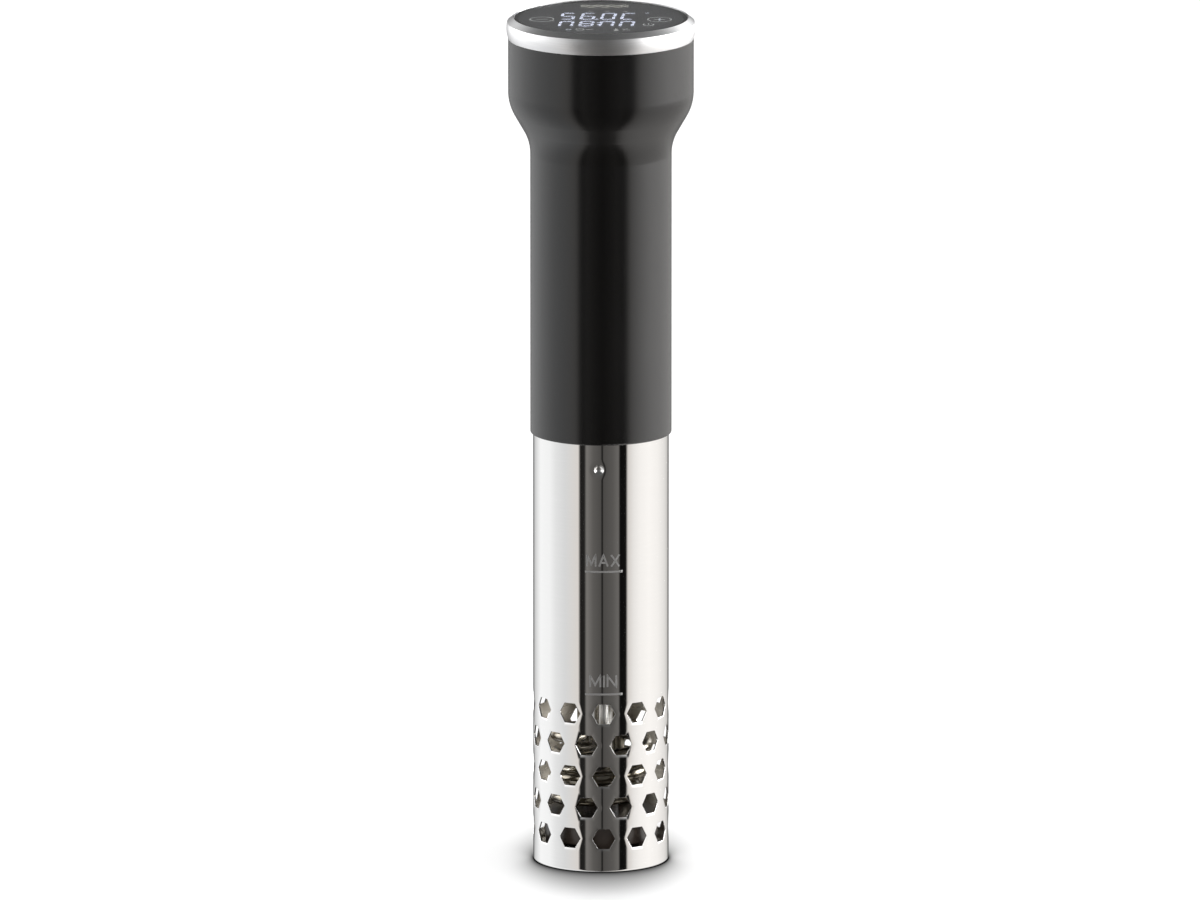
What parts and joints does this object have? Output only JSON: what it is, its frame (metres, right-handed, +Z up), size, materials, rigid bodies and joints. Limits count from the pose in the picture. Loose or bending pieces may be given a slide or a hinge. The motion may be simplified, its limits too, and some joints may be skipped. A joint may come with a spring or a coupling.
{
  "type": "sous vide circulator",
  "caption": "Stick-shaped sous vide circulator: round touch display, black grip, perforated steel sleeve over heater and pump, and a pot clamp at the back.",
  "frame": {"origin": "centre of the sleeve's flat bottom rim, on the axis of the sleeve and the grip", "axes": "+Z up along the axis towards the display; -Y is the front with the level marks, +Y is the back with the cord inlet and the pot clamp"},
  "size_m": [0.0804, 0.0931, 0.366],
  "materials": {
    "housing_black": "soft-touch satin black",
    "ring_aluminium": "satin brushed",
    "lens_glass": "polished, smoke tinted",
    "seal_rubber": "matt",
    "display_face": "dark, matt",
    "led_white": "frosted",
    "circuit_board": "solder mask",
    "spring_steel": "drawn wire",
    "screw_steel": "zinc plated",
    "black_part": "moulded",
    "ribbon_grey": "flat cable",
    "chassis_plastic": "glass-filled nylon",
    "transformer_yellow": "taped winding",
    "capacitor_blue": "shrink sleeve",
    "relay_blue": "moulded",
    "heatsink_aluminium": "extruded",
    "terminal_green": "moulded",
    "motor_steel": "zinc plated",
    "magnet_ferrite": "sintered",
    "bearing_steel": "ground",
    "rotor_laminate": "laminated",
    "wet_plastic": "moulded",
    "shaft_steel": "ground stainless",
    "heater_steel": "bright stainless",
    "probe_steel": "bright stainless",
    "nut_brass": "machined",
    "bush_brown": "bearing plastic",
    "sleeve_steel": "mirror-polished stainless",
    "clamp_black": "moulded",
    "pin_steel": "ground"
  },
  "bodies": {
    "sleeve": {"sleeve": "sleeve_steel"},
    "core": {"housing": "housing_black", "trim_ring": "ring_aluminium", "display_lens": "lens_glass", "lens_gasket": "seal_rubber", "ring_seal": "seal_rubber", "display_board": "circuit_board", "display_screws": "screw_steel", "led_display": "display_face", "indicator_leds": "led_white", "touch_springs": "spring_steel", "buzzer": "black_part", "ribbon_cable": "ribbon_grey", "cord_gland": "black_part", "gland_nut": "black_part", "gland_seal": "seal_rubber", "chassis": "chassis_plastic", "chassis_screws": "screw_steel", "flange_screws": "screw_steel", "power_board": "circuit_board", "transformer": "transformer_yellow", "capacitors": "capacitor_blue", "relay": "relay_blue", "triac_heatsink": "heatsink_aluminium", "terminal_block": "terminal_green", "motor_mount": "heatsink_aluminium", "motor_isolator": "seal_rubber", "motor_can": "motor_steel", "motor_end_cap": "motor_steel", "motor_magnets": "magnet_ferrite", "motor_bearings": "bearing_steel", "motor_screws": "screw_steel", "base_flange": "wet_plastic", "sleeve_oring": "seal_rubber", "housing_oring": "seal_rubber", "shaft_seal": "seal_rubber", "upper_bearing": "bearing_steel", "shaft_tube": "shaft_steel", "lower_bush": "bush_brown", "heater_coil": "heater_steel", "heater_nuts": "nut_brass", "heater_terminals": "nut_brass", "thermal_cutout": "black_part", "temperature_probe": "probe_steel", "level_probes": "probe_steel", "pump_housing": "wet_plastic", "inlet_grille": "wet_plastic", "grille_screws": "screw_steel", "clamp_bracket": "clamp_black", "clamp_pin": "pin_steel", "clamp_spring": "spring_steel", "clamp_screws": "screw_steel"},
    "rotor": {"motor_rotor": "rotor_laminate", "shaft_coupling": "black_part", "drive_shaft": "shaft_steel", "impeller": "wet_plastic"},
    "lever": {"clamp_lever": "clamp_black", "jaw_pad": "seal_rubber"}
  },
  "joints": [
    {"name": "rotor_spin", "type": "hinge", "parent": "core", "child": "rotor", "pos_m": [0, 0, 0.1], "axis": [0, 0, 1], "continuous": true},
    {"name": "clamp_pivot", "type": "hinge", "parent": "core", "child": "lever", "pos_m": [0, 0.044, 0.216], "axis": [1, 0, 0], "range_deg": [0, 18], "stiffness_Nm_per_rad": 1.2, "springref_deg": -34.38, "deforming": ["clamp_spring"]},
    {"name": "sleeve_slide", "type": "slide", "parent": "sleeve", "child": "core", "axis": [0, 0, 1], "range_m": [0, 0.2]}
  ]
}
